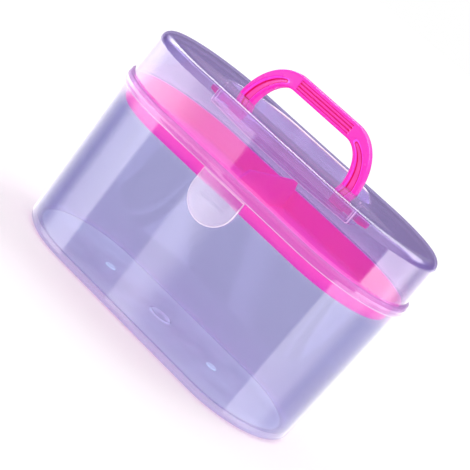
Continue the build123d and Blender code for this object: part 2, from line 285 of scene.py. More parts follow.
def rounded(corners, steps=7, support=0.00025, longest=0.008):
    """A path through corners, each (x, y, radius), with an arc in place of each corner.

    The arc touches both sides radius / tan(half the inner angle) from the corner, and its points are
    centre + radius * (cos, sin). A support point stands just before and just after it, and long sides are
    divided.
    """
    points = [np.array(corners[0][:2], float)]
    for before, corner, after in zip(corners, corners[1:], corners[2:]):
        here, radius = np.array(corner[:2], float), corner[2]
        back = np.array(before[:2], float) - here
        ahead = np.array(after[:2], float) - here
        back, ahead = back / np.linalg.norm(back), ahead / np.linalg.norm(ahead)
        half = math.acos(max(-1.0, min(1.0, float(back @ ahead)))) / 2
        reach = radius / math.tan(half)
        middle = (back + ahead) / np.linalg.norm(back + ahead)
        centre = here + middle * radius / math.sin(half)
        start, end = here + back * reach, here + ahead * reach
        turn = np.linspace(0, 1, steps)[:, None]
        first, last = (start - centre) / radius, (end - centre) / radius
        sweep = math.acos(max(-1.0, min(1.0, float(first @ last))))
        around = np.sin((1 - turn) * sweep) * first + np.sin(turn * sweep) * last
        arc = centre + radius * around / math.sin(sweep)
        points += [start + back * support, *arc, end + ahead * support]
    points.append(np.array(corners[-1][:2], float))
    path = [points[0]]
    for here, there in zip(points, points[1:]):
        parts = max(1, math.ceil(np.linalg.norm(there - here) / longest))
        path += [here + (there - here) * k / parts for k in range(1, parts + 1)]
    return np.array(path)


def hull_reach(circles, margin, rays):
    """How far each ray from the origin runs inside the hull of the circles, all grown by margin.

    circles has rows of x, y, radius. The hull lies within h(n) = max(centre . n + radius) of every direction
    n, so a ray d leaves it at the least h(n) / (d . n).
    """
    circles = np.asarray(circles, float)
    reach = (circles[:, :2] @ NORMALS + circles[:, 2:]).max(0) + margin
    along = rays @ NORMALS
    return np.where(along > 0.02, reach / np.maximum(along, 0.02), np.inf).min(1)


def spread_rays(circles, count, crowded=(), strength=6.0, width=0.03):
    """Rays from the origin that meet the circles' hull at even steps, with more near the crowded angles.

    A step along the outline counts 1 + strength * exp(-(angle / width)^2), and the rays divide the total
    evenly.
    """
    angle = np.linspace(-math.pi, math.pi, 3601)
    rays = np.stack([np.cos(angle), np.sin(angle)], 1)
    outline = rays * hull_reach(circles, 0, rays)[:, None]
    step = np.linalg.norm(np.diff(outline, axis=0), axis=1)
    middle = (angle[1:] + angle[:-1]) / 2
    for corner in crowded:
        step = step * (1 + strength * np.exp(-(((middle - corner) / width) ** 2)))
    travelled = np.concatenate([[0], np.cumsum(step)])
    chosen = np.interp(np.linspace(0, travelled[-1], count, endpoint=False), travelled, angle)
    return np.stack([np.cos(chosen), np.sin(chosen)], 1)


def rings_to_surface(rings):
    """Points and faces of a closed surface through rings[row, column], whose columns close on themselves.

    A pole at its middle closes each end. The volume's sign, the sum of a . (b x c) / 6 over the faces'
    triangles, tells whether the faces are turned round.
    """
    rows, columns = rings.shape[:2]
    column = np.arange(columns)
    beside = (column + 1) % columns
    start = np.arange(rows - 1)[:, None] * columns
    quads = np.stack([start + column, start + beside, start + columns + beside, start + columns + column],
                     -1).reshape(-1, 4)
    points = np.concatenate([rings.reshape(-1, 3), rings[[0, -1]].mean(1)])
    end = (rows - 1) * columns
    first_pole, last_pole = rows * columns, rows * columns + 1
    triangles = np.concatenate([
        np.stack([beside, column, np.full(columns, first_pole)], 1),
        np.stack([end + column, end + beside, np.full(columns, last_pole)], 1)])
    pieces = np.concatenate([quads[:, [0, 1, 2]], quads[:, [0, 2, 3]], triangles])
    a, b, c = (points[pieces[:, k]] - points.mean(0) for k in range(3))
    if np.einsum("ij,ij->", a, np.cross(b, c)) < 0:
        quads, triangles = quads[:, ::-1], triangles[:, ::-1]
    return points, quads, triangles


def ring_stack(rays, reaches, heights, centre=(0.0, 0.0), axes=(0, 1, 2)):
    """Rings of points centre + reach * ray at each height, laid along the given axes."""
    flat = rays[None] * np.asarray(reaches)[:, :, None] + np.array(centre)
    heights = np.broadcast_to(np.asarray(heights, float).reshape(len(flat), -1), flat.shape[:2])
    rings = np.empty(flat.shape[:2] + (3,))
    rings[..., axes[0]], rings[..., axes[1]], rings[..., axes[2]] = flat[..., 0], flat[..., 1], heights
    return rings


def slab(circles, low, high, edge, axes, count=64):
    """A plate with rounded edges: the hull of circles, from low to high along its third axis."""
    circles = np.array(circles, float)
    centre = circles[:, :2].mean(0)
    around = np.concatenate([circles[:, :2] - centre, circles[:, 2:]], 1)
    rays = spread_rays(around, count)
    profile = rounded([(-3 * edge, low, 0), (0, low, edge), (0, high, edge), (-3 * edge, high, 0)], steps=4,
                      support=edge / 3)
    reaches = [hull_reach(around, margin, rays) for margin in profile[:, 0]]
    return rings_to_surface(ring_stack(rays, reaches, profile[:, 1], centre, axes))


def bar(centre, radius, low, high, edge, count=32):
    """A round bar along X with rounded ends, centred on (y, z)."""
    return slab([(*centre, radius)], low, high, edge, (1, 2, 0), count)


def make_piece(name, surfaces, material, node):
    """Makes a mesh object of closed surfaces with their amounts of finish, riding on its CAD node's body.

    The amount is a number, or one for each point, and becomes the attribute that the material follows.
    """
    points, quads, triangles, finish, start = [], [], [], [], 0
    for (surface_points, surface_quads, surface_triangles), amount in surfaces:
        points.append(surface_points)
        quads.append(surface_quads + start)
        triangles.append(surface_triangles + start)
        finish.append(np.broadcast_to(amount, len(surface_points)))
        start += len(surface_points)
    points, quads, triangles = np.concatenate(points), np.concatenate(quads), np.concatenate(triangles)
    corners = np.concatenate([quads.ravel(), triangles.ravel()]).astype(np.int32)
    sizes = np.concatenate([np.full(len(quads), 4), np.full(len(triangles), 3)])
    mesh = bpy.data.meshes.new(name)
    mesh.vertices.add(len(points))
    mesh.vertices.foreach_set("co", points.astype(np.float32).ravel())
    mesh.loops.add(len(corners))
    mesh.loops.foreach_set("vertex_index", corners)
    mesh.polygons.add(len(sizes))
    mesh.polygons.foreach_set("loop_start", np.concatenate([[0], np.cumsum(sizes)[:-1]]).astype(np.int32))
    attribute = mesh.attributes.new("finish", "FLOAT", "POINT")
    attribute.data.foreach_set("value", np.concatenate(finish).astype(np.float32))
    mesh.update(calc_edges=True)
    mesh.validate()
    mesh.shade_smooth()
    mesh.materials.append(material)
    piece = bpy.data.objects.new(name, mesh)
    bpy.context.scene.collection.objects.link(piece)
    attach(piece, node)
    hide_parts(node)


def track(plan, centre_y=0.0):
    """The racetrack outline as two circles, seen from (0, centre_y)."""
    straight = plan.half_length - plan.half_depth
    return [(-straight, -centre_y, plan.half_depth), (straight, -centre_y, plan.half_depth)]


def nested(scales, ring):
    """Smaller copies of a ring of reaches, one for each scale."""
    return [ring * scale for scale in scales]


def tub_surfaces(box):
    """The tub's shell as rings of inset and height, its catch, hinge lugs and floor marks."""
    plan, tub, hinge = box.plan, box.tub, box.hinge
    top, slope = TUB_HIGH.z, math.tan(tub.draft)
    foot = tub.rim_inset + top * slope
    floor_top = tub.foot_recess + tub.floor
    inner_foot = tub.rim_inset + tub.wall + (top - floor_top) * slope
    ledge_top = top - tub.ledge_drop
    ledge_low = ledge_top - tub.ledge_height
    inner_wall = tub.rim_inset + tub.wall + (top - ledge_low) * slope
    land = foot + tub.foot_round + tub.foot_land
    chamfer = 0.001
    recess_start, floor_start = land + 0.003, inner_foot + 0.0042
    profile = rounded([
        (recess_start, tub.foot_recess, 0), (land, tub.foot_recess, EDGE), (land, 0, EDGE),
        (foot, 0, tub.foot_round), (tub.rim_inset, top, EDGE), (tub.rim_inset + tub.wall, top, EDGE),
        (tub.rim_inset + tub.wall + tub.ledge_drop * slope, ledge_top, FINE_EDGE),
        (tub.ledge_inset, ledge_top, SLIGHT_EDGE), (tub.ledge_inset, ledge_low + chamfer, SLIGHT_EDGE),
        (tub.ledge_inset - chamfer, ledge_low, FINE_EDGE), (inner_wall, ledge_low, FINE_EDGE),
        (inner_foot, floor_top, tub.floor_round), (floor_start, floor_top, 0)])
    circles = track(plan)
    rays = spread_rays(circles, 260)
    shell = [hull_reach(circles, -inset, rays) for inset in profile[:, 0]]

    # Round rings: three under the floor, more from the floor's edge to the gate ring, and the ring itself
    ring = np.ones(len(rays))
    under = [ring * 0.004, ring * 0.02, shell[0] * 0.8]
    before_gate = 0.009
    mixes = (0.02, 0.25, 0.5, 0.75, 1.0)
    floor_rings = [shell[-1] * (1 - mix) + ring * before_gate * mix for mix in mixes]
    ridge = np.linspace(-1, 1, 9)
    gate = [ring * (tub.gate_radius - tub.gate_width / 2 * step) for step in ridge]
    gate_heights = floor_top + tub.gate_height * (1 - ridge ** 2) ** 0.7
    reaches = [*under, *shell, *floor_rings, *gate, ring * 0.003]
    heights = np.concatenate([np.full(len(under), tub.foot_recess), profile[:, 1],
                              np.full(len(mixes), floor_top), gate_heights, [floor_top]])

    # From the height of the tray up the wall is clearer, with painted pink light from the tray
    lit_height = 0.094
    finish = np.select([profile[:, 1] > lit_height, profile[:, 1] < tub.foot_round + 0.0001],
                       [Finish.tub_rim, Finish.tub_foot], 0.0)
    # The floor is frosted, and the gate ring most along its crest, which is a painted highlight
    finish = np.concatenate([np.full(len(under), Finish.faint), finish,
                             np.full(len(mixes), Finish.tub_floor), Finish.gate - np.abs(ridge),
                             [Finish.tub_floor]])
    finish = np.concatenate([np.repeat(finish, len(rays)), [Finish.faint, Finish.gate_middle]])
    surfaces = [(rings_to_surface(ring_stack(rays, reaches, heights)), finish)]

    # Round marks on the floor, low domes set a little into it
    for side in (-1, 1):
        spot = [(side * tub.mark_spacing / 2, 0, tub.mark_radius)]
        dome = slab(spot, floor_top - FINE_EDGE, floor_top + tub.mark_height, EDGE, (0, 1, 2), 40)
        surfaces.append((dome, Finish.mark))

    # Catch for the latch
    wall_y = -(plan.half_depth - tub.rim_inset - (top - tub.catch_low) * slope)
    corner = tub.catch_corner
    catch = [(x, z, corner) for x in (-tub.catch_half + corner, tub.catch_half - corner)
             for z in (tub.catch_low + corner, tub.catch_high - corner)]
    surfaces.append((slab(catch, wall_y - tub.catch_depth, wall_y + SUNK, EDGE, (0, 2, 1)), Finish.catch))

    # Two pairs of lugs for the lid's pins, whose feet stand a little in the leaning wall
    corner = 0.0005
    for side in (-1, 1):
        for flank in (-1, 1):
            middle = side * hinge.reach + flank * hinge.lug_gap
            lug = [(LID_PIVOT[1], LID_PIVOT[2], hinge.knuckle),
                   (-wall_y - 0.0006, LID_PIVOT[2] + hinge.lug_rise, corner),
                   (-wall_y - 0.0008, LID_PIVOT[2] - hinge.lug_fall, corner)]
            plate = slab(lug, middle - hinge.lug / 2, middle + hinge.lug / 2, EDGE, (1, 2, 0))
            surfaces.append((plate, Finish.faint))
    return surfaces


def lid_surfaces(box):
    """The lid's shell in one run of rings: well floor, well walls, top, outside, skirt and back inside.

    A ring of the shell is the racetrack moved inwards by an inset, a ring of the well is the well's outline
    moved outwards by a margin, and between them the flat top is a mix of both along each ray.
    """
    plan, lid, hinge = box.plan, box.lid, box.hinge
    top, under_top = LID_HIGH.z, LID_HIGH.z - lid.wall
    centre_y = lid.well_middle
    outline = track(plan, centre_y)
    corner, bend = lid.well_corner, 0.001
    well = [(side * x, y - centre_y, radius) for side in (-1, 1) for x, y, radius in (
        (lid.well_half - corner, lid.well_front + corner, corner),
        (lid.well_half - bend, lid.well_bend, bend), (lid.well_arc_x, lid.well_arc_y, lid.well_arc))]
    corners = [math.atan2(y - centre_y, side * lid.well_half)
               for y in (lid.well_front, lid.well_bend) for side in (-1, 1)]
    rays = spread_rays(outline, 300, corners)

    # Profiles of margin or inset and height: the well's inside, the shell from its top over the skirt to the
    # top's underside, and the well's outside
    foot_round, foot_round_outside, lip, bulge = 0.0012, 0.0014, 0.0007, 0.005
    shoulder_inset, shoulder_slope = 0.0011, 0.00025
    hem_inset, hem_rise = 0.0007, 0.0019
    floor = top - lid.well_depth
    under_floor = floor - lid.wall
    top_edge = lid.step + lid.top_round + 0.003
    inside = rounded([(-0.006, floor, 0), (0, floor, foot_round), (0, top, lip), (0.004, top, 0)], steps=6)
    shell = rounded([
        (top_edge, top, 0), (lid.step, top, lid.top_round), (lid.step, lid.shoulder_top, EDGE),
        (shoulder_inset, lid.shoulder_top - shoulder_slope, EDGE),
        (0, lid.shoulder_top - lid.shoulder_fall, bulge), (0, lid.skirt_bottom + hem_rise, bulge),
        (hem_inset, lid.skirt_bottom, EDGE),
        (lid.skirt_wall, lid.skirt_bottom, EDGE), (lid.skirt_wall, lid.seat, SLIGHT_EDGE),
        (lid.step + lid.wall, lid.seat, 0.0005), (lid.step + lid.wall, under_top, lid.top_round - lid.wall),
        (top_edge, under_top, 0)], steps=9)
    outside = rounded([(0.005, under_top, 0), (lid.wall, under_top, lip),
                       (lid.wall, under_floor, foot_round_outside), (-0.006, under_floor, 0)], steps=6)
    well_in = [hull_reach(well, margin, rays) for margin in inside[:, 0]]
    body = [hull_reach(outline, -inset, rays) for inset in shell[:, 0]]
    well_out = [hull_reach(well, margin, rays) for margin in outside[:, 0]]
    mixes = np.linspace(0, 1, 7)[1:-1]
    over = [well_in[-1] * (1 - mix) + body[0] * mix for mix in mixes]
    under = [body[-1] * (1 - mix) + well_out[0] * mix for mix in mixes]
    scales = (0.03, 0.3, 0.6, 0.85)
    reaches = [*nested(scales, well_in[0]), *well_in, *over, *body, *under, *well_out,
               *nested(scales[::-1], well_out[-1])]
    heights = np.concatenate([
        np.full(len(scales), floor), inside[:, 1], np.full(len(mixes), top), shell[:, 1],
        np.full(len(mixes), under_top), outside[:, 1], np.full(len(scales), under_floor)])

    # The finish: the well's front panel is clear with painted pink light from the tray, painted highlights
    # run along the seams at its ends and along its foot, and its rim is frosted, most behind as a painted
    # highlight
    angle = np.arctan2(rays[:, 1], rays[:, 0])
    front = smooth_step(-rays[:, 1], 0.37, 0.42)
    back = smooth_step(rays[:, 1], 0.3, 0.6)
    seams = sum(np.exp(-(((angle - seam) / 0.011) ** 2)) for seam in corners[:2])
    rim = (inside[:, 1] > top - 0.0008) & (inside[:, 0] < 0.0008)
    flat = inside[:, 0] > 0.0008
    bottom = inside[:, 1] < floor + 0.0005
    foot = (outside[:, 1] < floor - 0.0006) & (outside[:, 0] > -0.0004)
    inner_wall = np.where(rim[:, None], Finish.well_rim + Finish.well_rim_back * back,
                          Finish.well_wall + (Finish.well_front - Finish.well_wall) * front)
    inner_wall = inner_wall + np.outer(~rim & ~flat, Finish.well_seam_inside * seams)
    inner_wall = np.where(flat[:, None], Finish.top_before_well * front,
                          np.where(bottom[:, None], Finish.well_floor, inner_wall))
    outer_wall = Finish.faint + (Finish.well_front - Finish.faint) * front + Finish.well_seam_outside * seams
    outer_wall = outer_wall + np.outer(foot, Finish.well_front_foot * front)
    # The hem is frosted as a painted highlight, and the skirt gets painted pink light from the tray
    hem = shell[:, 1] <= lid.skirt_bottom + 0.0006
    skirt = (shell[:, 1] < lid.shoulder_top + 0.0005) & ~hem
    plain = np.zeros((len(mixes), 1))
    finish = np.concatenate([np.broadcast_to(rows, (len(rows), len(rays))) for rows in (
        np.full((len(scales), 1), Finish.well_floor), inner_wall, plain + Finish.top_before_well * front,
        (Finish.hem * hem + Finish.skirt * skirt)[:, None], plain, outer_wall,
        np.full((len(scales), 1), Finish.faint))])
    surfaces = [(rings_to_surface(ring_stack(rays, reaches, heights, (0, centre_y))),
                 np.concatenate([finish.ravel(), [Finish.well_floor, Finish.faint]]))]

    # Hinge ears on the skirt, each with a pin through it
    wall_y = plan.half_depth - lid.skirt_wall / 2
    for side in (-1, 1):
        middle = side * hinge.reach
        ear = [(LID_PIVOT[1], LID_PIVOT[2], hinge.knuckle), (wall_y, lid.skirt_bottom + hinge.ear_low, EDGE),
               (wall_y, lid.skirt_bottom + hinge.ear_high, EDGE)]
        surfaces.append((slab(ear, middle - hinge.ear / 2, middle + hinge.ear / 2, 0.0005, (1, 2, 0)),
                         Finish.faint))
        surfaces.append((bar(LID_PIVOT[1:], hinge.pin, middle - hinge.pin_length / 2,
                             middle + hinge.pin_length / 2, EDGE), Finish.faint))
    return surfaces


def tab_surfaces(box):
    """The latch tab: a D-shaped plate, a rim round its back that fades out above the catch, and the bead."""
    tab, tub = box.tab, box.tub
    front, back = TAB_LOW.y, TAB_LOW.y + tab.plate
    half = TAB_HIGH.x
    middle = TAB_LOW.z + half
    centre = (0.0, middle)
    upper = TAB_HIGH.z - middle
    around = [(0, 0, half), (-half + tab.edge, upper, tab.edge), (half - tab.edge, upper, tab.edge)]
    corners = [math.atan2(upper, side * half) for side in (-1, 1)]
    rays = spread_rays(around, 160, corners)
    flat_start = -0.004
    profile = rounded([
        (flat_start, front, 0), (0, front, tab.edge), (0, back + tab.rim, EDGE),
        (-tab.rim, back + tab.rim, EDGE), (-tab.rim, back, SLIGHT_EDGE), (flat_start, back, 0)], steps=6)

    # The top is straight, and the rim round the back sinks into the plate over the fade
    lid_end = upper / np.maximum(rays[:, 1], 1e-6)
    lid_end = np.where(rays[:, 1] > 0.02, lid_end, np.inf)
    reaches = [np.minimum(hull_reach(around, margin, rays), lid_end * (1 + margin / upper))
               for margin in profile[:, 0]]
    heights = np.repeat(profile[:, 1][:, None], len(rays), 1)
    level = middle + rays[None, :, 1] * np.array(reaches)
    fade = np.clip((level - tab.rim_top) / tab.fade, 0, 1)
    heights = np.where(heights > back, back + (heights - back) * (1 - fade), heights)
    scales = (0.25, 0.6)
    flat = (len(scales), len(rays))
    heights = np.concatenate([np.full(flat, front), heights, np.full(flat, back)])
    reaches = [*nested(scales, reaches[0]), *reaches, *nested(scales[::-1], reaches[-1])]
    rings = ring_stack(rays, reaches, heights, centre, (0, 2, 1))
    bead_back = back + 0.00078
    bead = [(x, z, tab.bead) for x in (-tub.catch_half + tab.bead, tub.catch_half - tab.bead)
            for z in (tub.catch_low - tab.bead_low, tub.catch_low - tab.bead_high)]

    # The finish: a painted highlight along the front edge, painted pink light from the tray on the side, and
    # plainer up by the skirt
    front_edge = (profile[:, 1] < front + tab.edge + 0.0001) & (profile[:, 0] > -tab.edge * 0.7)
    side_wall = (profile[:, 0] > -0.0001) & ~front_edge & (profile[:, 1] < back + tab.rim - 0.0005)
    rim_edge = (profile[:, 1] > back + 0.0004) & ~side_wall
    finish = np.select([front_edge, side_wall, rim_edge], [Finish.tab_edge, Finish.tab_side, Finish.tab_rim],
                       Finish.tab)
    plate = np.full(len(scales), Finish.tab)
    finish = np.concatenate([plate, finish, plate])[:, None]
    upward = smooth_step(rings[..., 2], tab.rim_top - tab.fade, tab.rim_top + tab.fade)
    finish = np.where(finish == Finish.tab_edge, finish * (1 - 0.4 * upward),
                      finish * (1 - upward) + Finish.tab_top * upward)
    finish = np.concatenate([finish.ravel(), [Finish.tab, Finish.tab]])
    return [(rings_to_surface(rings), finish),
            (slab(bead, back - SUNK, bead_back, SLIGHT_EDGE, (0, 2, 1)), Finish.bead)]


def tray_surfaces(box):
    """The tray's shell as rings of inset and height, and its divider as a rounded plate."""
    plan, tray = box.plan, box.tray
    bottom, slope = TRAY_LOW.z, math.tan(tray.draft)
    top = bottom + tray.height
    rim_inset = plan.half_length - TRAY_HIGH.x
    foot = tray.inset + (top - bottom) * slope
    cavity = tray.inset + tray.wall
    profile = rounded([
        (foot + 0.008, bottom, 0), (foot, bottom, tray.bottom_round),
        (tray.inset + tray.rim * slope, top - tray.rim, SLIGHT_EDGE),
        (rim_inset, top - tray.rim, SLIGHT_EDGE), (rim_inset, top, 0.0005), (cavity, top, EDGE),
        (cavity + (top - bottom - tray.wall) * slope, bottom + tray.wall, tray.bottom_round - tray.wall),
        (foot + 0.01, bottom + tray.wall, 0)])
    circles = track(plan)
    rays = spread_rays(circles, 240)
    shell = [hull_reach(circles, -inset, rays) for inset in profile[:, 0]]
    scales = (0.1, 0.5, 0.8)
    reaches = [*nested(scales, shell[0]), *shell, *nested(scales[::-1], shell[-1])]
    heights = np.concatenate([np.full(len(scales), bottom), profile[:, 1],
                              np.full(len(scales), bottom + tray.wall)])
    surfaces = [(rings_to_surface(ring_stack(rays, reaches, heights)), 0.0)]

    # The divider: straight up from the walls' feet to the rim, then drawn in to its raised top
    corner = 0.0006
    foot_y = plan.half_depth - cavity - EDGE - 2 * corner
    divider = [(side * y, z, corner) for side in (-1, 1) for y, z in (
        (tray.divider_top - corner, TRAY_HIGH.z - corner), (tray.divider_foot - corner, top),
        (foot_y, bottom + tray.wall))]
    surfaces.append((slab(divider, -tray.divider / 2, tray.divider / 2, 0.0005, (1, 2, 0), 160), 0.0))
    return surfaces


def handle_surfaces(box):
    """The handle's arch as rings across it, from one foot over the grip to the other, and its two pins.

    Each ring lies between the arch's inner and outer line. Going round it, the front cheek sinks by the
    channel's depth, or by the panel's with its ribs, and the half thickness is a half circle round the pivot
    at the feet.
    """
    handle = box.handle
    pivot_y, pivot_z = HANDLE_PIVOT[1], HANDLE_PIVOT[2]
    half = handle.thickness / 2
    centre_x = handle.half_width - handle.arch_width
    centre_z = HANDLE_HIGH.z - handle.arch_height
    inner_x, inner_z = handle.arch_width - handle.leg, handle.arch_height - handle.grip

    # The right half's inner and outer lines, foot to crown, then mirrored. Rings crowd where the channel
    # starts and where the panel ends.
    foot = pivot_z - half * np.cos(np.linspace(0.12, math.pi / 2, 12))
    start = pivot_z + handle.channel_start
    leg = np.concatenate([foot, np.linspace(pivot_z, start - 0.0004, 8)[1:],
                          start + np.linspace(-0.0002, 0.0006, 6), [start + 0.002], [centre_z - 0.001]])
    turn = np.linspace(0, math.pi / 2, 44)
    crown = np.concatenate([np.linspace(centre_x - 0.0002, handle.panel - 0.0016, 10),
                            np.linspace(handle.panel - 0.003, 0, 10)])
    outer = np.concatenate([
        np.stack([np.full(len(leg), handle.half_width), leg], 1),
        np.stack([centre_x + handle.arch_width * np.cos(turn),
                  centre_z + handle.arch_height * np.sin(turn)], 1),
        np.stack([crown, np.full(len(crown), HANDLE_HIGH.z)], 1)])
    inner = np.concatenate([
        np.stack([np.full(len(leg), handle.half_width - handle.leg), leg], 1),
        np.stack([centre_x + inner_x * np.cos(turn), centre_z + inner_z * np.sin(turn)], 1),
        np.stack([crown, np.full(len(crown), centre_z + inner_z)], 1)])
    bend = np.concatenate([np.zeros(len(leg)), turn / (math.pi / 2), np.ones(len(crown))])
    bend = np.concatenate([bend, bend[-2::-1]])
    outer = np.concatenate([outer, outer[-2::-1] * [-1, 1]])
    inner = np.concatenate([inner, inner[-2::-1] * [-1, 1]])
    width = np.linalg.norm(outer - inner, axis=1)
    middle = (outer + inner) / 2

    # Round the ring: distance from the inner line, and which cheek
    edge_turn = np.linspace(0, math.pi / 2, 5)
    lip = handle.edge * (1 - np.cos(edge_turn))
    drop = handle.edge * (1 - np.sin(edge_turn))
    span = np.linspace(0, 1, 58)[1:-1]
    offset = np.concatenate([lip, np.zeros(len(span)), -lip[::-1]])
    floor_share = np.concatenate([np.zeros(len(lip)), span, np.ones(len(lip))])
    rounding = np.concatenate([drop, np.zeros(len(span)), drop[::-1]])
    wide = width[:, None]
    distance = np.where((floor_share > 0) & (floor_share < 1),
                        handle.edge + floor_share * (wide - 2 * handle.edge), offset + floor_share * wide)
    inset = np.minimum(distance, wide - distance)
    height, reach_x = middle[:, 1], np.abs(middle[:, 0])
    crown_part = height > centre_z

    # The channel: a gutter with sloping sides that narrows to the arch's inner edge and ends beside the grip
    bend = bend[:, None]
    lowest = wide * (0.5 - 0.24 * bend)
    web = handle.web * (1 - bend) / 2
    far_edge = lowest + web + (wide - handle.flange - lowest - web) * (1 - 0.75 * bend)
    side_in = smooth_step(distance, handle.flange, lowest - web)
    side_out = 1 - smooth_step(distance, lowest + web, far_edge)
    fade = smooth_step(height, start - 0.0001, start + 0.0008)[:, None] * (1 - smooth_step(bend, 0.45, 0.9))
    gutter = np.minimum(side_in, side_out)

    # The panel: a shallow recess with fine grooves along it
    panel = np.where(crown_part, 1 - smooth_step(reach_x, handle.panel - 0.0006, handle.panel), 0)[:, None]
    panel = panel * smooth_step(inset, handle.panel_edge - 0.0001, handle.panel_edge + 0.0002)
    pitch = (handle.grip - 2 * handle.panel_edge) / handle.rib_count
    phase = (distance - handle.panel_edge) / pitch
    line = np.abs(phase - np.round(phase)) * pitch
    rib = 1 - np.exp(-((line / handle.rib_line) ** 2))
    sink = gutter * fade * handle.channel + panel * (handle.panel_depth - handle.rib * rib)
    below = np.clip(pivot_z - np.minimum(outer[:, 1], inner[:, 1]), 0, half)
    foot_half = np.where(crown_part, half, np.sqrt(half ** 2 - below ** 2))
    depth = np.maximum(foot_half[:, None] - rounding * (foot_half / half)[:, None] - sink, 0.0001)
    share = (distance / wide)[..., None]
    across = inner[:, None] * (1 - share) + outer[:, None] * share
    front = np.stack([across[..., 0], pivot_y - depth, across[..., 1]], -1)
    back = np.stack([across[..., 0], pivot_y + depth, across[..., 1]], -1)[:, ::-1]
    rings = np.concatenate([front, back], 1)

    # The finish, which the colour follows as painted highlight and shade: how deep in the channel, or below
    # 0 how deep between the panel's ribs, with most painted shade at the lines' ends
    line_ends = 0.5 * np.exp(-(((reach_x[:, None] - handle.panel + 0.0008) / 0.0007) ** 2))
    finish = gutter * smooth_step(fade, 0.03, 0.25) - panel * (0.3 + (1 - rib) * (0.5 + line_ends))
    finish = np.concatenate([np.concatenate([finish, finish[:, ::-1]], 1).ravel(), [0, 0]])
    surfaces = [(rings_to_surface(rings), finish)]

    # Pins: a profile of radius along X, turned round the pivot
    tip = HANDLE_HIGH.x
    inside, axis, soft = handle.half_width - 0.003, 0.0001, 0.0006
    profile = rounded([
        (inside, axis, 0), (inside, handle.pin, SLIGHT_EDGE), (tip - handle.pin_taper, handle.pin, soft),
        (tip, handle.pin_tip, soft), (tip, axis, 0)], steps=6)
    round_turn = np.linspace(0, TAU, 48, endpoint=False)
    for side in (-1, 1):
        rings = np.stack(np.broadcast_arrays(
            side * profile[:, 0, None], pivot_y + profile[:, 1, None] * np.cos(round_turn),
            pivot_z + profile[:, 1, None] * np.sin(round_turn)), -1)
        surfaces.append((rings_to_surface(rings), 0.0))
    return surfaces


class Graph:
    """The node tree of a material or a world, filled one node at a time."""

    def __init__(self, owner):
        owner.use_nodes = True
        self.owner = owner
        self.tree = owner.node_tree
        self.tree.nodes.clear()

    def add(self, kind, inputs=(), output=0, **settings):
        """Adds a node, sets it, feeds its inputs with values or sockets, and gives one of its outputs."""
        node = self.tree.nodes.new(kind)
        for key, value in settings.items():
            setattr(node, key, value)
        for key, value in dict(inputs).items():
            if isinstance(value, bpy.types.NodeSocket):
                self.tree.links.new(value, node.inputs[key])
            else:
                node.inputs[key].default_value = value
        return node.outputs[output]

    def math(self, operation, first, second=0.5):
        """A Math node."""
        return self.add("ShaderNodeMath", {0: first, 1: second}, operation=operation)

    def times(self, first, second):
        """A Math node that multiplies."""
        return self.math("MULTIPLY", first, second)

    def blend(self, factor, first, second):
        """A Mix node between two colours."""
        return self.add("ShaderNodeMix", {0: factor, 6: first, 7: second}, 2, data_type="RGBA")

    def seen(self):
        """1 where the camera or a mirrored ray looks, and 0 for the light that a surface gives to others."""
        rays = self.add("ShaderNodeLightPath").node.outputs
        return self.math("MAXIMUM", rays["Is Camera Ray"], rays["Is Glossy Ray"])

    def finish_attribute(self):
        """The finish that the mesh's points carry."""
        return self.add("ShaderNodeAttribute", output="Fac", attribute_name="finish")

    def noise(self, scale, detail=2.0, stretch=(1, 1, 1)):
        """Noise on object coordinates, stretched along the axes."""
        place = self.add("ShaderNodeTexCoord", output="Object")
        place = self.add("ShaderNodeMapping", {"Vector": place, "Scale": stretch})
        return self.add("ShaderNodeTexNoise", {"Vector": place, "Scale": scale, "Detail": detail})

    def remap(self, value, low, high, new_low, new_high):
        """A Map Range node."""
        return self.add("ShaderNodeMapRange", {"Value": value, "From Min": low, "From Max": high,
                                               "To Min": new_low, "To Max": new_high})

    def finish(self, shader, kind="ShaderNodeOutputMaterial"):
        """Ends the tree at its output and gives the material or world."""
        self.tree.links.new(shader, self.tree.nodes.new(kind).inputs["Surface"])
        return self.owner


# Share of a sight line's squared sine that is left inside the plastic, haze of painted pink light from the
# tray at a finish of -1, and gloss straight on
REFRACTED, CARRIED_SHARE, FACE_SHINE = 0.77, 0.10, 0.04


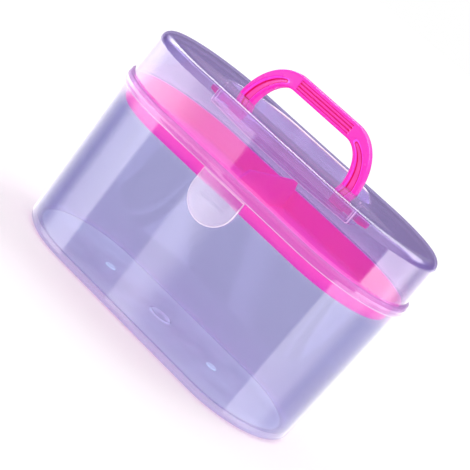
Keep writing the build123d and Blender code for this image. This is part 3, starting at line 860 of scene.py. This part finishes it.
def clear_plastic(name, colours, tint, frost_colour, frost, glow, roughness, waves):
    """Clear moulded plastic with a haze in it, and more of it where the mesh has finish, with painted pink
    light from the tray where the finish is below 0; the haze has a painted glow.

    A ray that meets the face at an angle runs 1 / sqrt(1 - REFRACTED * (1 - cos^2)) as far through it, so
    what passes is tint to that power, and what is scattered is 1 - (1 - haze) to that power. Faces with
    finish of either sign are thinner and tint less. The gloss over it all is
    FACE_SHINE + (1 - FACE_SHINE) * (1 - cos)^5. Light on its way to what lies behind meets less of the tint
    than the eye does.
    """
    graph = Graph(bpy.data.materials.new(name))
    cloud = graph.noise(14, 3)
    flow = graph.noise(30, 2, (1, 1, 0.12))
    grain = graph.noise(900, 2)
    facing = graph.add("ShaderNodeLayerWeight", {"Blend": 0.5}, "Facing")
    cosine = graph.math("SUBTRACT", 1.0, facing)
    slant = graph.math("SUBTRACT", 1.0, graph.times(cosine, cosine))
    path = graph.math("POWER", graph.math("SUBTRACT", 1.0, graph.times(slant, REFRACTED)), -0.5)
    path = graph.times(path, graph.remap(graph.seen(), 0, 1, 0.3, 1))

    # What passes
    finish = graph.finish_attribute()
    thin = graph.remap(graph.math("ABSOLUTE", finish), 0, 1, 1, 0.4)
    passed = graph.add("ShaderNodeGamma", {"Color": (*tint, 1), "Gamma": graph.times(path, thin)})

    # What is scattered, uneven as moulded plastic is, with painted pink light from the tray where the finish
    # is below 0
    frosted = graph.math("MAXIMUM", finish, 0.0)
    carried = graph.times(graph.math("MAXIMUM", graph.times(finish, -1.0), 0.0), CARRIED_SHARE)
    amount = graph.math("ADD", graph.times(frosted, frost), graph.math("ADD", carried, colours.haze))
    uneven = graph.times(graph.remap(cloud, 0.3, 0.7, 0.75, 1.25), graph.remap(flow, 0.3, 0.7, 0.9, 1.1))
    uneven = graph.times(uneven, graph.remap(grain, 0.3, 0.7, 0.97, 1.03))
    clear = graph.math("POWER", graph.math("SUBTRACT", 1.0, graph.times(uneven, amount)), path)
    milk = graph.blend(frosted, (*colours.haze_colour, 1), (*frost_colour, 1))
    milk = graph.blend(graph.remap(carried, 0, CARRIED_SHARE, 0, 1), milk, (*colours.carried, 1))
    # The scattering body glows by itself by the given strength, a painted glow
    body = graph.add("ShaderNodeBsdfPrincipled", {"Base Color": milk, "Roughness": 0.5,
                                                  "Emission Color": milk, "Emission Strength": glow})
    lit = graph.add("ShaderNodeBsdfTranslucent", {"Color": milk})
    solid = graph.add("ShaderNodeMixShader", {0: 0.45, 1: body, 2: lit})
    through = graph.add("ShaderNodeBsdfTransparent", {"Color": passed})
    wall = graph.add("ShaderNodeMixShader", {0: clear, 1: solid, 2: through})

    # Gloss, in faint waves
    streak = graph.noise(90, 3, (0.1, 1, 0.1))
    bump = graph.add("ShaderNodeBump", {"Height": flow, "Strength": 0.04, "Distance": 0.001})
    bump = graph.add("ShaderNodeBump", {"Height": streak, "Strength": waves, "Distance": 0.0006,
                                        "Normal": bump})
    rough = graph.remap(cloud, 0.3, 0.7, roughness * 0.8, roughness * 1.25)
    gloss = graph.add("ShaderNodeBsdfAnisotropic", {"Color": (1, 1, 1, 1), "Roughness": rough,
                                                    "Normal": bump})
    shine = graph.math("ADD", graph.times(graph.math("POWER", facing, 5.0), 1 - FACE_SHINE), FACE_SHINE)
    return graph.finish(graph.add("ShaderNodeMixShader", {0: shine, 1: wall, 2: gloss}))


def pink_plastic(name, colours, colour, warmth, glow, roughness, specular):
    """Glossy hot-pink plastic, a little translucent, with a painted glow that makes it bright by itself.

    By the given share, the colour follows the mesh's finish with painted highlight and shade: from 0 up
    through a painted highlight on the sides of a channel and painted shade deep in it to painted light on
    its web, and from 0 down through the ribbed panel's own colour to painted shade in the lines between its
    ribs.
    """
    graph = Graph(bpy.data.materials.new(name))
    cloud = graph.noise(40, 3)
    grain = graph.noise(900, 2)
    deep = (colour[0], colour[1] * 0.6, colour[2] * 1.08, 1)
    base = graph.blend(graph.remap(cloud, 0.3, 0.7, 0, 1), (*colour, 1), deep)
    finish = graph.finish_attribute()
    # Painted highlight on a channel's sides, painted shade deep in it, painted light on its web, the panel's
    # own colour, and painted shade between the panel's ribs
    for start, end, shade in ((0.02, 0.12, colours.violet), (0.48, 0.68, colours.crimson),
                              (0.9, 0.98, colours.groove), (-0.1, -0.3, colours.panel),
                              (-0.35, -0.85, colours.crimson)):
        base = graph.blend(graph.remap(finish, start, end, 0, warmth), base, (*shade, 1))
    bump = graph.add("ShaderNodeBump", {"Height": grain, "Strength": 0.04, "Distance": 0.0002})
    # The emission is a painted glow, stronger where the camera or a mirrored ray looks
    shader = graph.add("ShaderNodeBsdfPrincipled", {
        "Base Color": base, "Roughness": graph.remap(cloud, 0.3, 0.7, roughness * 0.85, roughness * 1.2),
        "Normal": bump, "Specular IOR Level": specular,
        "Subsurface Weight": 0.2, "Subsurface Radius": (1.0, 0.3, 0.6), "Subsurface Scale": 0.003,
        "Emission Color": base,
        "Emission Strength": graph.remap(graph.seen(), 0, 1, glow * 0.4, glow)})
    return graph.finish(shader)


class SEWINGBOX_OT_tub(Operator):
    """Builds the clear tub"""

    bl_idname = "sewing_box.tub"
    bl_label = "Tub"

    def execute(self, context):
        box = context.scene.sewing_box
        colours = box.colours
        material = clear_plastic("tub_plastic", colours, colours.tint, colours.floor_colour,
                                 frost=colours.frost, glow=0.8, roughness=0.05, waves=0.08)
        make_piece("tub_shell", tub_surfaces(box), material, "tub")
        return {"FINISHED"}


class SEWINGBOX_OT_lid(Operator):
    """Builds the clear lid with its skirt and well"""

    bl_idname = "sewing_box.lid"
    bl_label = "Lid"

    def execute(self, context):
        box = context.scene.sewing_box
        colours = box.colours
        material = clear_plastic("lid_plastic", colours, colours.lid_tint, colours.well_colour,
                                 frost=colours.frost, glow=1.5, roughness=0.025, waves=0.15)
        make_piece("lid_shell", lid_surfaces(box), material, "lid")
        return {"FINISHED"}


class SEWINGBOX_OT_latch(Operator):
    """Builds the latch tab"""

    bl_idname = "sewing_box.latch"
    bl_label = "Latch tab"

    def execute(self, context):
        box = context.scene.sewing_box
        colours = box.colours
        material = clear_plastic("latch_plastic", colours, colours.tab_tint, colours.frost_colour,
                                 frost=0.24, glow=0.8, roughness=0.12, waves=0.08)
        make_piece("latch_plate", tab_surfaces(box), material, "latch_tab")
        return {"FINISHED"}


class SEWINGBOX_OT_tray(Operator):
    """Builds the pink tray"""

    bl_idname = "sewing_box.tray"
    bl_label = "Tray"

    def execute(self, context):
        box = context.scene.sewing_box
        material = pink_plastic("tray_plastic", box.colours, box.colours.tray_pink, warmth=0.0, glow=0.55,
                                roughness=0.45, specular=0.05)
        make_piece("tray_insert", tray_surfaces(box), material, "tray")
        return {"FINISHED"}


class SEWINGBOX_OT_handle(Operator):
    """Builds the pink handle"""

    bl_idname = "sewing_box.handle"
    bl_label = "Handle"

    def execute(self, context):
        box = context.scene.sewing_box
        material = pink_plastic("handle_plastic", box.colours, box.colours.pink, warmth=1.0, glow=0.1,
                                roughness=0.24, specular=0.5)
        make_piece("handle_bar", handle_surfaces(box), material, "handle")
        return {"FINISHED"}


def card_grid():
    """The reflection card's grid: travel along the front wall's outline, reach from it, and x and y.

    Travel is counted from the wall's middle. A grid line leaves the outline as a mirrored sight line does:
    from the flat stretch it leans about 20 degrees to the left, and round the ends by twice the wall's own
    turn more.
    """
    # The wall's outline is straight this far to both sides and then turns round its ends
    straight, radius = 0.05325, 0.051
    left_end, right_end, beside = -0.119, 0.141, 0.00025
    travel = np.concatenate([np.linspace(left_end, -straight - beside, 160),
                             np.linspace(-straight + beside, straight - beside, 107),
                             np.linspace(straight + beside, right_end, 210)])
    flat = np.clip(travel, -straight, straight)
    turn = (travel - flat) / radius
    lean = 2 * turn + np.radians(-20.3 + 3.8 * flat / straight)
    tub_start, tub_end, lid_start, lid_end = 0.0005, 0.45, 0.48, 1.15
    reach = np.concatenate([np.linspace(tub_start, tub_end, 30), np.linspace(lid_start, lid_end, 30)])
    reach = reach[:, None]
    x = flat + radius * np.sin(turn) + reach * np.sin(lean)
    y = -radius * np.cos(turn) - reach * np.cos(lean)
    return travel, reach, x, y


def card_glow(travel, reach):
    """How bright the card is: dim, with lit fields near the box for the tub and far ones for the lid.

    A field has its strength between two places along the wall, and a soft stretch inside each.
    """
    def field(strength, start, end, soft_start, soft_end):
        """The light of one field at each travel."""
        rising = smooth_step(travel, start, start + soft_start)
        return strength * rising * (1 - smooth_step(travel, end - soft_end, end))

    dim = 0.2
    edges = 1.7 * (1 - smooth_step(travel, -0.095, -0.075) + smooth_step(travel, 0.104, 0.116))
    left, middle = field(3.9, -0.082, -0.0535, 0.012, 0.002), field(2.4, -0.0165, 0.014, 0.001, 0.02)
    near = dim + edges + left + middle + field(2.9, 0.079, 0.113, 0.002, 0.012)
    growing = 2.2 + 4.2 * smooth_step(-travel, 0.03, 0.075)
    left, right = field(growing, -0.1, -0.003, 0.02, 0.001), field(5.0, 0.091, 0.122, 0.002, 0.012)
    far = (dim + edges + left + right) * (0.85 + 0.35 * smooth_step(reach, 0.47, 0.65))
    return near + (far - near) * smooth_step(reach, 0.42, 0.47)


class SEWINGBOX_OT_stage(Operator):
    """Builds the floor, the reflection card, the world, the sun and the camera"""

    bl_idname = "sewing_box.stage"
    bl_label = "Stage"

    def execute(self, context):
        scene = context.scene
        scene.view_settings.view_transform = "Standard"
        scene.cycles.transparent_max_bounces = 40
        self.paper(scene)
        self.reflection_card(scene)
        self.sky(scene)
        self.sun(scene)
        self.camera(scene)
        return {"FINISHED"}

    def paper(self, scene):
        """The floor, a sheet of white paper that the camera sees a little brighter."""
        reach, height = 6.0, -0.0002
        mesh = bpy.data.meshes.new("floor")
        mesh.from_pydata([(-reach, -reach, height), (reach, -reach, height), (reach, reach, height),
                          (-reach, reach, height)], [], [(0, 1, 2, 3)])
        floor = bpy.data.objects.new("floor", mesh)
        scene.collection.objects.link(floor)
        graph = Graph(bpy.data.materials.new("floor_paper"))
        colour = graph.blend(graph.noise(3, 2), (0.90, 0.90, 0.91, 1), (0.93, 0.93, 0.94, 1))
        paper = graph.add("ShaderNodeBsdfDiffuse", {"Color": colour})
        seen = graph.add("ShaderNodeLightPath", output="Is Camera Ray")
        light = graph.add("ShaderNodeEmission", {"Color": (1, 1, 1, 1), "Strength": graph.times(seen, 0.1)})
        mesh.materials.append(graph.finish(graph.add("ShaderNodeAddShader", {0: paper, 1: light})))

    def sun(self, scene):
        """A soft sun, high behind the box and to its right, that gives it a faint shadow."""
        light = bpy.data.lights.new("sun", "SUN")
        light.energy = 0.45
        light.angle = math.radians(25)
        lamp = bpy.data.objects.new("sun", light)
        lamp.rotation_euler = (math.radians(-20), math.radians(15), 0)
        scene.collection.objects.link(lamp)

    def camera(self, scene):
        """The camera, fitted to the box's outline in the photograph."""
        azimuth, elevation, roll = math.radians(18.524), math.radians(12.518), math.radians(39.432)
        place = (0.265073, -0.778751, 0.252821)
        focal_pixels, frame_pixels = 1464.978, 470
        away = Vector((math.sin(azimuth) * math.cos(elevation), -math.cos(azimuth) * math.cos(elevation),
                       math.sin(elevation)))
        right = Vector((math.cos(azimuth), math.sin(azimuth), 0))
        up = away.cross(right)
        turned_right = right * math.cos(roll) + up * math.sin(roll)
        turned_up = up * math.cos(roll) - right * math.sin(roll)
        data = bpy.data.cameras.new("camera")
        data.sensor_width = 36.0
        data.lens = data.sensor_width * focal_pixels / frame_pixels
        camera = bpy.data.objects.new("camera", data)
        camera.matrix_world = Matrix([*zip(turned_right, turned_up, away, place), (0, 0, 0, 1)])
        scene.collection.objects.link(camera)
        scene.camera = camera

    def reflection_card(self, scene):
        """A card on the floor that only reflections see, whose lit fields show as bands on the front."""
        travel, reach, x, y = card_grid()
        glow = card_glow(travel, reach)
        height = 0.0004
        points = np.stack([x, y, np.full_like(x, height)], -1).reshape(-1, 3)
        columns = len(travel)
        corner = np.arange(len(reach) - 1)[:, None] * columns + np.arange(columns - 1)[None]
        quads = np.stack([corner, corner + columns, corner + columns + 1, corner + 1], -1).reshape(-1, 4)
        mesh = bpy.data.meshes.new("reflection_card")
        mesh.from_pydata(points.tolist(), [], quads.tolist())
        attribute = mesh.attributes.new("glow", "FLOAT", "POINT")
        attribute.data.foreach_set("value", glow.astype(np.float32).ravel())
        graph = Graph(bpy.data.materials.new("card_light"))
        strength = graph.add("ShaderNodeAttribute", output="Fac", attribute_name="glow")
        mesh.materials.append(graph.finish(graph.add("ShaderNodeEmission", {
            "Color": (1.0, 0.98, 0.88, 1), "Strength": strength})))
        card = bpy.data.objects.new("reflection_card", mesh)
        scene.collection.objects.link(card)
        card.visible_camera = card.visible_diffuse = card.visible_transmission = False
        card.visible_shadow = card.visible_volume_scatter = False

    def sky(self, scene):
        """A white world that reflections see as a studio: a dark wall behind, low, and a long lamp above.

        The lamp is a strip along X, at directions that point up and whose y is near strip_y.
        """
        white, wall = (1, 1, 1, 1), (0.30, 0.25, 0.42, 1)
        strip_y, strip_strength = 0.55, 8
        graph = Graph(bpy.data.worlds.new("studio"))
        direction = graph.add("ShaderNodeTexCoord", output="Generated")
        _, y, z = graph.add("ShaderNodeSeparateXYZ", {0: direction}).node.outputs
        behind = graph.remap(y, -0.2, 0.4, 0, 1)
        low = graph.remap(z, 0.25, 0.5, 1, 0)
        across = graph.math("ABSOLUTE", graph.math("SUBTRACT", y, strip_y))
        strip = graph.times(graph.remap(across, 0.1, 0.24, 1, 0), graph.remap(z, 0.2, 0.5, 0, 1))
        above = graph.remap(strip, 0, 1, 1, strip_strength)
        mirrored = graph.blend(graph.times(behind, low), white, wall)
        rays = graph.add("ShaderNodeLightPath").node.outputs
        glossy = rays["Is Glossy Ray"]
        strength = graph.remap(rays["Is Camera Ray"], 0, 1, 0.97, 1.0)
        strength = graph.add("ShaderNodeMix", {0: glossy, 2: strength, 3: above})
        colour = graph.blend(glossy, white, mirrored)
        background = graph.add("ShaderNodeBackground", {"Color": colour, "Strength": strength})
        scene.world = graph.finish(background, "ShaderNodeOutputWorld")


class SEWINGBOX_PT_panel(Panel):
    """Lists the builders in the sidebar"""

    bl_label = "Sewing Box"
    bl_space_type = "VIEW_3D"
    bl_region_type = "UI"
    bl_category = "Sewing Box"

    def draw(self, context):
        for builder in BUILDERS:
            self.layout.operator(builder.bl_idname)
        box = context.scene.sewing_box
        for group in (box.plan, box.tub, box.lid, box.hinge, box.tab, box.tray, box.handle, box.colours):
            column = self.layout.column(align=True)
            for key in group.bl_rna.properties.keys():
                if key not in ("rna_type", "name"):
                    column.prop(group, key)


BUILDERS = (SEWINGBOX_OT_stage, SEWINGBOX_OT_tub, SEWINGBOX_OT_lid, SEWINGBOX_OT_latch, SEWINGBOX_OT_tray,
            SEWINGBOX_OT_handle)
CLASSES = (PlanSizes, TubSizes, LidSizes, HingeSizes, TabSizes, TraySizes, HandleSizes, PlasticColours,
           SewingBox, *BUILDERS, SEWINGBOX_PT_panel)


def register():
    """Registers the classes and the scene's settings."""
    for cls in CLASSES:
        bpy.utils.register_class(cls)
    bpy.types.Scene.sewing_box = PointerProperty(type=SewingBox)


def unregister():
    """Takes the settings and the classes away again."""
    del bpy.types.Scene.sewing_box
    for cls in reversed(CLASSES):
        bpy.utils.unregister_class(cls)


def main():
    """Builds everything."""
    register()
    bpy.ops.sewing_box.stage()
    bpy.ops.sewing_box.tub()
    bpy.ops.sewing_box.lid()
    bpy.ops.sewing_box.latch()
    bpy.ops.sewing_box.tray()
    bpy.ops.sewing_box.handle()


if __name__ == "__main__":
    main()
